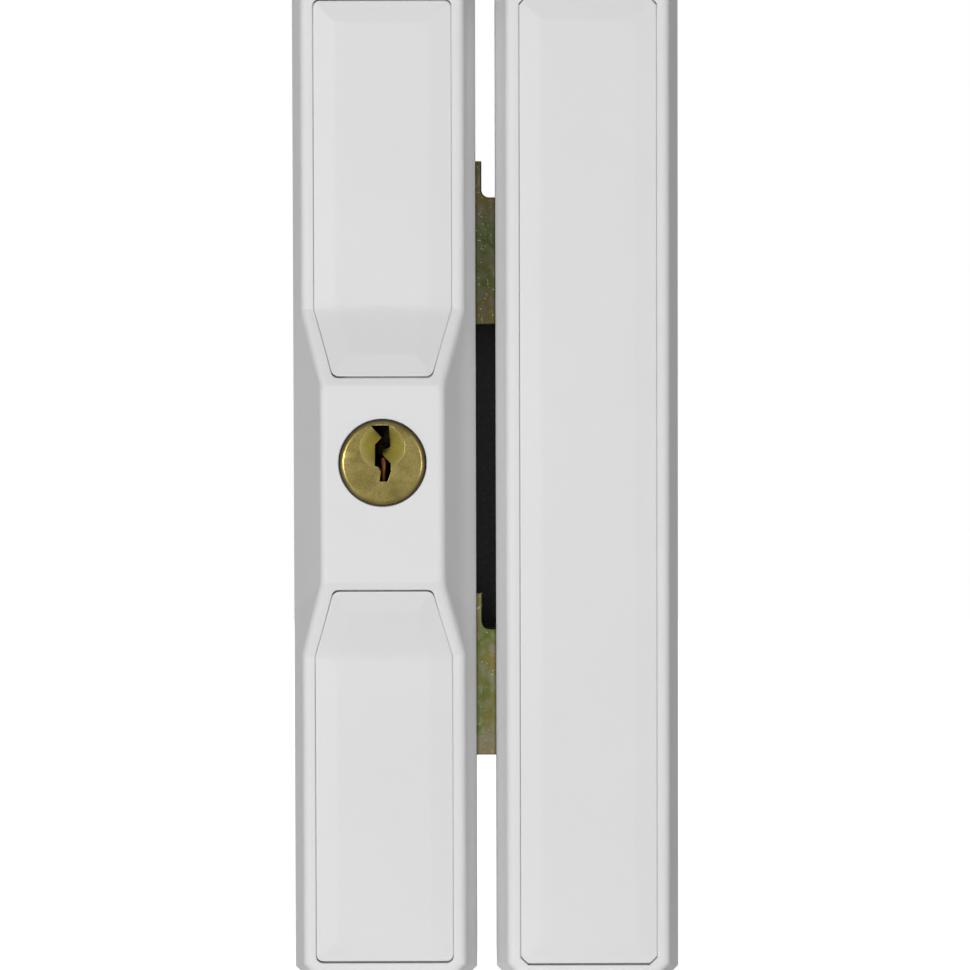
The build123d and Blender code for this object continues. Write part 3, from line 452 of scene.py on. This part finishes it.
def add_piece(name, shapes, finish):
    """An object from (points, quads) pairs, with points as x, depth and height in millimetres.
    Doubles are merged, which closes seams and poles, and faces are turned outwards."""
    mesh = bpy.data.meshes.new(name)
    counts = np.cumsum([0] + [len(points) for points, quads in shapes])
    points = np.concatenate([points for points, quads in shapes])
    quads = np.concatenate([quads + count for (_, quads), count in zip(shapes, counts)])
    places = np.stack([points[:, 0], -points[:, 1], points[:, 2]], axis=1) * mm
    mesh.from_pydata(places.tolist(), [], quads.tolist())
    work = bmesh.new()
    work.from_mesh(mesh)
    bmesh.ops.remove_doubles(work, verts=work.verts, dist=merge_distance)
    bmesh.ops.recalc_face_normals(work, faces=work.faces)
    work.to_mesh(mesh)
    work.free()
    mesh.shade_smooth()
    mesh.materials.append(finish)
    made = bpy.data.objects.new(name, mesh)
    scene.collection.objects.link(made)
    made.modifiers.new("flat_areas_stay_flat", "WEIGHTED_NORMAL")
    print(name, len(mesh.polygons), "faces")
    return made


least_corner = 0.15
arc_points = 6

# %% Section of a cap
cap_proud, bevel_width, bevel_drop, cap_wall, cap_foot = 0.3, 3.5, 0.42, 1.5, -2.95
edge_round, edge_dip, foot_round, crest_ease = 0.45, 0.2, 0.15, 0.4
inner_round, side_land = 0.2, 0.2
bevel_slope = bevel_drop / bevel_width
lip = cap_proud - bevel_drop


def cap_section():
    """Rows from the middle of the hollow, over the foot and the rounded edge, to the middle of
    the face. The edge is a quarter of an ellipse, edge_round wide and edge_dip high. The crest
    is a parabola that turns the bevel's slope to level within crest_ease of the bevel's end."""
    ceiling = cap_proud - cap_wall
    rows = [(cap_wall + bevel_width, ceiling, fill) for fill in (1, 0.5, 0)]
    rows += [(cap_wall + inner_round, lip - cap_wall, 0)]
    rows += [(cap_wall, lip - cap_wall - inner_round, 0)]
    rows += [(cap_wall, cap_foot + foot_round, 0), (cap_wall - foot_round, cap_foot, 0)]
    rows += [(foot_round, cap_foot, 0), (0, cap_foot + foot_round, 0)]
    arc_rise = lip + bevel_slope * edge_round - edge_dip
    rows += [(0, arc_rise - side_land, 0)]
    rows += [
        (edge_round * (1 - np.cos(angle)), arc_rise + edge_dip * np.sin(angle), 0)
        for angle in np.linspace(0, pi / 2, 9)
    ]
    rows += [(inset, lip + bevel_slope * inset, 0) for inset in (0.7, 1.5, 2.4)]
    for inset in np.linspace(bevel_width - crest_ease, bevel_width + crest_ease, 7):
        left = bevel_width + crest_ease - inset
        rows.append((inset, cap_proud - bevel_slope * left ** 2 / (4 * crest_ease), 0))
    rows += [(bevel_width + crest_ease, cap_proud, fill) for fill in (0.1, 0.4, 0.7, 1)]
    return rows


def grip_rib(across, height):
    """A rib under a cap that grips the case's ledge: a small block with rounded edges."""
    half_x, half_z, soft, top, corner_radius = 0.5, 3.5, 0.12, 4.7, 0.2
    corners = np.array([(-half_x, -half_z), (half_x, -half_z), (half_x, half_z), (-half_x, half_z)])
    section = [
        (soft, 0, 1), (soft, 0, 0), (0, soft, 0),
        (0, top - soft, 0), (soft, top, 0), (soft, top, 1),
    ]
    return ringed_shell(
        corners + (across, height), np.full(4, corner_radius), (2, 6, 2, 6), section,
        lambda heights: np.full_like(heights, rib_foot), across,
    )


# %% Covers and panel
end_depth, waist_rise, waist_run = 28.0, 5.0, 12.05
waist_slope, fold_height, fold_ease = waist_rise / waist_run, 27.5, 1.0
rib_foot = 21.8
side_fit = 0.24
cover_half, cover_end_half = 10.65 + side_fit, 7.55 + side_fit
cover_start, cap_reach, panel_reach = 16.9, 76.0, 76.4
cover_ribs, cover_rib_heights = (-8.85, 8.85), (36.0, 64.0)


def lock_front(heights):
    """Depth of the lock case's front: level, then climbing at the waist's slope inside the
    fold. The corner between the two is a hyperbola, (d + sqrt(d * d + ease * ease)) / 2."""
    inside = fold_height - np.abs(heights)
    return end_depth + waist_slope * (inside + np.sqrt(inside ** 2 + fold_ease ** 2)) / 2


cover_corners = np.array([
    (-cover_end_half, cover_start), (cover_end_half, cover_start), (cover_half, fold_height),
    (cover_half, cap_reach), (-cover_half, cap_reach), (-cover_half, fold_height),
])
cover_radii = np.array([1.3, 1.3, 3.0, 1.1, 1.1, 3.0])
shell = ringed_shell(
    cover_corners, cover_radii, (16, 16, 60, 20, 60, 16), cap_section(), lock_front,
)
for name, hand in (("upper", 1), ("lower", -1)):
    ribs = [grip_rib(x, z) for x in cover_ribs for z in cover_rib_heights]
    shapes = [(points * (1, 1, hand), quads) for points, quads in [shell] + ribs]
    cover = add_piece(name + "_cover_moulding", shapes, plastic)
    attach(cover, name + "_cap")
    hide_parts(name + "_cover")

case_pitch, panel_half, panel_chamfer, chamfer_flatness = 32.4, 10.6 + side_fit, 1.2, 0.85
panel_ribs, panel_rib_heights = (-8.8, 8.8), (-62.0, -21.0, 21.0, 62.0)
panel_corners = np.array([
    (-panel_half, -panel_reach), (panel_half, -panel_reach),
    (panel_half, panel_reach), (-panel_half, panel_reach),
]) + (case_pitch, 0)
shapes = [ringed_shell(
    panel_corners, np.full(4, panel_chamfer), (20, 40, 20, 40), cap_section(),
    lambda heights: np.full_like(heights, end_depth), case_pitch, chamfer_flatness,
)]
shapes += [grip_rib(case_pitch + x, z) for x in panel_ribs for z in panel_rib_heights]
panel = add_piece("strike_panel_moulding", shapes, plastic)
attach(panel, "strike_cap")
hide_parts("strike_panel")

# %% [markdown]
# ## Coil springs
#
# A coil spring of 0.35 mm wire pushes each pin towards the plug, and a CAD sleeve keeps its
# room. The real one is wire wound on a mandrel with its end coils closed, so that it stands
# square. A circle carried along a helix gives that with exact control of the end coils.

# %% Coil springs
def coil(low, high, outer_radius, wire_radius, turns):
    """A tube round a helix. Along it the angle grows evenly, and the height climbs by one wire
    per turn in the first and last turn and faster between them. Across it runs a circle whose
    radius is nothing in the end rows, which closes the ends."""
    turn = np.linspace(0, turns, 20 * turns + 1)
    wire, travel = 2 * wire_radius, high - low - 2 * wire_radius
    climb = np.interp(turn, [0, 1, turns - 1, turns], [0, wire, travel - wire, travel])
    turn, climb = np.pad(turn, 1, mode="edge")[:, None], np.pad(climb, 1, mode="edge")[:, None]
    thickness = np.full(turn.shape, wire_radius)
    thickness[[0, -1]] = 0
    across = np.linspace(0, 2 * pi, 12, endpoint=False)[None, :]
    reach = outer_radius - wire_radius + thickness * np.cos(across)
    spin = 2 * pi * turn
    height = low + wire_radius + climb + thickness * np.sin(across)
    points = np.stack([reach * np.cos(spin), reach * np.sin(spin), height], axis=2)
    return points.reshape(-1, 3), grid_faces(len(turn), across.size)


def node_range(node, axis):
    """The lowest and highest value of a CAD node along an axis, in millimetres."""
    return [corner[axis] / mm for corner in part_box(node)]


spring_low, spring_high = node_range("pin_springs", 2)
spring_radius = node_range("pin_springs", 0)[1]
first_pin_depth, pin_pitch, pin_count = 26.0, 2.8, 4
wire_radius, spring_turns = 0.175, 6
winding, quads = coil(spring_low, spring_high, spring_radius, wire_radius, spring_turns)
shapes = [
    (winding + (0, first_pin_depth - pin_pitch * index, 0), quads) for index in range(pin_count)
]
springs = add_piece("pin_spring_coils", shapes, wire)
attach(springs, "root")
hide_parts("pin_springs")

# %% [markdown]
# ## Screws
#
# The screws are thread-forming ones with a cross recess. Their thread is rolled: it stands
# as a helical ridge on the shank. In the surface's two parameters, angle and depth, such a
# ridge is a wave whose phase shifts by one pitch per turn, so one grid holds the recess,
# the head, the thread and the point. Their depths are read from the CAD screws, so each
# stands where its CAD screw does.

# %% Screws with thread and cross recess
def cross_outline(angles, reach, half):
    """Radius of a cross with arms of that reach and half width: the nearer of an arm's end,
    reach / cos, and its side, half / sin, of the angle from the nearest arm."""
    from_arm = np.abs((angles + pi / 4) % (pi / 2) - pi / 4)
    return np.minimum(reach / np.cos(from_arm), half / np.maximum(np.sin(from_arm), 1e-6))


def screw(x, height, head, recess, shank_radius, back, tip):
    """Rings of a radius each, which may change with the angle, at a depth each. back and tip
    are the depths of the screw's two ends. head lists (radius, distance in front of back) from
    the head's back to its seat, and recess is (reach, half width, depth). The thread's ridge
    is a trapezium wave along the depth, and a turn of the angle shifts it by one pitch."""
    angles = np.linspace(0, 2 * pi, 72, endpoint=False)
    level = np.ones_like(angles)
    reach, half, drop = recess
    seat = back + head[-1][1]
    cross = cross_outline(angles, reach, half)
    rows = [(0 * level, back + drop), (recess_taper * cross, back + drop), (cross, back)]
    rows += [(radius * level, back + depth) for radius, depth in head]
    thread_end = tip - point_length * shank_radius
    for depth in np.arange(seat + thread_start, thread_end, thread_pitch / 6):
        phase = (depth / thread_pitch - angles / (2 * pi)) % 1
        ridge = np.clip(1.25 - 5 * np.abs(phase - 0.5), 0, 1)
        rows.append((shank_radius * (1 - thread_cut * (1 - ridge)), depth))
    rows += [(share * shank_radius * level, depth) for share, depth in (
        (0.75, thread_end), (0.2, tip), (0, tip),
    )]
    radii = np.stack([radius for radius, depth in rows])
    depths = np.array([depth for radius, depth in rows])[:, None] * level
    points = np.stack([x + radii * np.cos(angles), depths, height + radii * np.sin(angles)], axis=2)
    return points.reshape(-1, 3), grid_faces(len(rows), len(angles))


thread_pitch, thread_cut, thread_start = 0.7, 0.16, 0.1
recess_taper, point_length = 0.6, 0.8
countersunk_head = [(2.1, 0), (2.2, 0.08), (1.25, 0.95)]
pan_head = [(1.35, 0), (1.7, 0.15), (1.9, 0.5), (1.9, 1.15), (1.0, 1.2)]
washer_head = [(2.3, 0), (2.6, 0.1), (2.8, 0.4), (2.8, 1.18), (1.2, 1.2)]
boss_spread, boss_reach, clamp_reach = 10.35, 57.0, 14.9
screw_sets = {
    "lock_case_screws": [(x, z, countersunk_head, (1.35, 0.3, 0.75), 1.25)
                         for x in (-boss_spread, boss_spread) for z in (-boss_reach, boss_reach)],
    "clamp_screws": [(0, z, pan_head, (1.1, 0.25, 0.7), 1.0) for z in (-clamp_reach, clamp_reach)],
    "pinion_screw": [(0, cylinder_height, washer_head, (1.3, 0.3, 0.9), 1.2)],
}
screw_sets["strike_case_screws"] = [
    (x + case_pitch, *others) for x, *others in screw_sets["lock_case_screws"]
]
for node, places in screw_sets.items():
    tip, back = [-place for place in node_range(node, 1)]
    made = add_piece(node + "_threaded", [screw(*place, back, tip) for place in places], steel)
    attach(made, "plug" if node == "pinion_screw" else "root")
    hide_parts(node)
    print(node, "CAD", [node_range(node, axis) for axis in range(3)])

# %% [markdown]
# ## Countersink of the keyway
#
# The upper part of the keyway sits in a countersink. The CAD plug gives it a flat floor, but
# the photograph shows none: on its left wall a dark patch reaches the keyway, and its right
# wall is light up to it, so the drill's cone seems to run on to the keyway. The same cone is
# taken out of a copy of the plug. A shape cut by a Boolean keeps the keyway's edges exact.

# %% Plug with its countersink
def plain_copy(source, name):
    """A mesh with another one's points and faces and nothing else, its doubles merged."""
    corners = np.empty(3 * len(source.vertices))
    source.vertices.foreach_get("co", corners)
    faces = [list(face.vertices) for face in source.polygons]
    mesh = bpy.data.meshes.new(name)
    mesh.from_pydata(corners.reshape(-1, 3).tolist(), [], faces)
    work = bmesh.new()
    work.from_mesh(mesh)
    bmesh.ops.remove_doubles(work, verts=work.verts, dist=merge_distance)
    work.to_mesh(mesh)
    work.free()
    return mesh


def cone(height, radius, face, beyond=1):
    """A solid cone of 90 degrees, its point to the back, as wide as radius at the depth face.
    It goes on in front of that by beyond, so radius and depth grow by the same amount."""
    angles = np.linspace(0, 2 * pi, 96, endpoint=False)
    radii = np.array([0, radius + beyond, 0])[:, None]
    depths = np.array([face - radius, face + beyond, face + beyond])[:, None] + 0 * angles
    points = np.stack([radii * np.cos(angles), depths, height + radii * np.sin(angles)], axis=2)
    return points.reshape(-1, 3), grid_faces(len(radii), len(angles))


def cut_out(target, shape, crease):
    """Takes a shape out of a piece, for good. Edges sharper than crease stay sharp."""
    cutter = add_piece("cutter", [shape], brass)
    cutter.modifiers.clear()
    cut = target.modifiers.new("cut", "BOOLEAN")
    cut.object, cut.solver = cutter, "EXACT"
    graph = bpy.context.evaluated_depsgraph_get()
    target.data = plain_copy(target.evaluated_get(graph).data, target.name)
    target.modifiers.clear()
    bpy.data.objects.remove(cutter)
    target.data.shade_smooth()
    target.data.set_sharp_from_angle(angle=crease)


plug_face, dish_height, dish_radius = 34.0, 2.5, 3.52
plug_name, cone_margin = "cylinder_plug_countersunk", 0.03
plug = bpy.data.objects.new(plug_name, plain_copy(frame["nodes"]["cylinder_plug"].data, plug_name))
scene.collection.objects.link(plug)
before = len(plug.data.polygons)
cut_out(plug, cone(cylinder_height + dish_height, dish_radius, plug_face), radians(24))
plug.data.materials.append(brass)
plug.data.materials.append(fresh_brass)
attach(plug, "plug")
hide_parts("cylinder_plug")
print("plug faces", before, "->", len(plug.data.polygons))

centres = np.empty(3 * len(plug.data.polygons))
plug.data.polygons.foreach_get("center", centres)
across, depth, height = (centres.reshape(-1, 3) / mm * (1, -1, 1)).T
from_axis = np.hypot(across, height - cylinder_height - dish_height)
on_cone = np.abs(plug_face - depth - (dish_radius - from_axis)) < cone_margin
plug.data.polygons.foreach_set("material_index", on_cone.astype(np.int32))
print("faces of the countersink", on_cone.sum())

# %% [markdown]
# ## Camera
#
# The camera looks at the lock square on from about 0.6 m, through a long lens. It stands a
# little above the middle, so the upper half is a touch wider than the lower one, and it is
# rolled by a seventh of a degree.

# %% Camera
view_distance = 0.6
view_width = 0.1533
aim = Vector((0.01606, -end_depth * mm, -0.00034))
tilt, roll = radians(2.0), radians(-0.14)
camera_data = bpy.data.cameras.new("camera")
camera_data.sensor_width = 36
camera_data.lens = camera_data.sensor_width * view_distance / view_width
camera_data.clip_start = 0.01
camera = bpy.data.objects.new("camera", camera_data)
turn = Matrix.Rotation(pi / 2 - tilt, 4, "X") @ Matrix.Rotation(roll, 4, "Z")
camera.matrix_world = Matrix.Translation(aim) @ turn @ Matrix.Translation((0, 0, view_distance))
scene.collection.objects.link(camera)
scene.camera = camera
print("lens", round(camera_data.lens, 1), "mm")

# %% [markdown]
# ## Light
#
# A white studio: two soft lamps in front, the left one twice as strong as the right one, and
# a weak light from all round. The camera, glossy and transmission rays see pure white, so
# metal reflects a white room, while the light on the object stays at the level where a colour
# renders as it is written. Both lamps stand 28 degrees off the middle, which lights the walls
# of the gap between the cases about as brightly as the photograph shows them. A third lamp
# stands behind, for views of the back.

# %% White studio
world = bpy.data.worlds.new("white_studio")
world.use_nodes = True
tree = world.node_tree
tree.nodes.clear()
ray = add_node(tree, "LightPath", {})
seen = ray.outputs["Is Camera Ray"]
for other in ("Is Glossy Ray", "Is Transmission Ray"):
    seen = add_node(tree, "Math", {0: seen, 1: ray.outputs[other]}, operation="MAXIMUM").outputs[0]
weak = add_node(tree, "Background", {"Color": (1, 1, 1, 1), "Strength": 0.04})
white = add_node(tree, "Background", {"Color": (1, 1, 1, 1), "Strength": 1.0})
mixed = add_node(tree, "MixShader", {0: seen, 1: weak.outputs[0], 2: white.outputs[0]})
add_node(tree, "OutputWorld", {"Surface": mixed.outputs[0]})
scene.world = world
scene.view_settings.view_transform = "Standard"


# %% Lamps
def softbox(name, place, width, height, power):
    """A rectangular lamp at place that faces the lock. Sizes in metres, power in watts."""
    data = bpy.data.lights.new(name, "AREA")
    data.shape = "RECTANGLE"
    data.size = width
    data.size_y = height
    data.energy = power
    lamp = bpy.data.objects.new(name, data)
    lamp.location = place
    lamp.rotation_euler = (aim - Vector(place)).to_track_quat("-Z", "Y").to_euler()
    scene.collection.objects.link(lamp)


softbox("left_softbox", (-0.5, -1.0, 0.03), 0.3, 0.2, 7.5)
softbox("right_softbox", (0.53, -1.0, 0.03), 0.3, 0.2, 3.7)
softbox("back_softbox", (0.02, 1.1, 0.35), 0.5, 0.3, 2.0)

# %% [markdown]
# ## Floor
#
# The lock stands on a sheet of pale matt paper, half a millimetre below its lower end. For
# the camera and in reflections the paper also glows, so it looks as white as the background
# and metal mirrors no dark floor. The price is that the glow washes out nearly all of the
# object's shadow on the paper.

# %% Floor
floor_height, floor_half, floor_glow = -0.0805, 0.8, 0.9
floor_mesh = bpy.data.meshes.new("floor")
outline = [(-1, -1), (1, -1), (1, 1), (-1, 1)]
floor_corners = [(x * floor_half, y * floor_half, floor_height) for x, y in outline]
floor_mesh.from_pydata(floor_corners, [], [(0, 1, 2, 3)])
floor = bpy.data.objects.new("floor", floor_mesh)
scene.collection.objects.link(floor)
paper, tree, place, shader = start_finish("pale_matt_paper")
fibres = add_node(tree, "TexNoise", {"Vector": place, "Scale": per(1.0), "Detail": 3.0})
tone = add_node(tree, "MixRGB", {0: fibres.outputs[0], 1: linear("#f2f2f2"), 2: linear("#f6f6f6")})
tree.links.new(tone.outputs[0], shader.inputs["Base Color"])
shader.inputs["Roughness"].default_value = 0.9
ray = add_node(tree, "LightPath", {})
seen = add_node(
    tree, "Math", {0: ray.outputs["Is Camera Ray"], 1: ray.outputs["Is Glossy Ray"]},
    operation="MAXIMUM",
)
glow = add_node(tree, "Emission", {"Strength": floor_glow})
lit = add_node(tree, "AddShader", {0: shader.outputs[0], 1: glow.outputs[0]})
mixed = add_node(tree, "MixShader", {0: seen.outputs[0], 1: shader.outputs[0], 2: lit.outputs[0]})
output = next(node for node in tree.nodes if node.type == "OUTPUT_MATERIAL")
tree.links.new(mixed.outputs[0], output.inputs["Surface"])
floor_mesh.materials.append(paper)
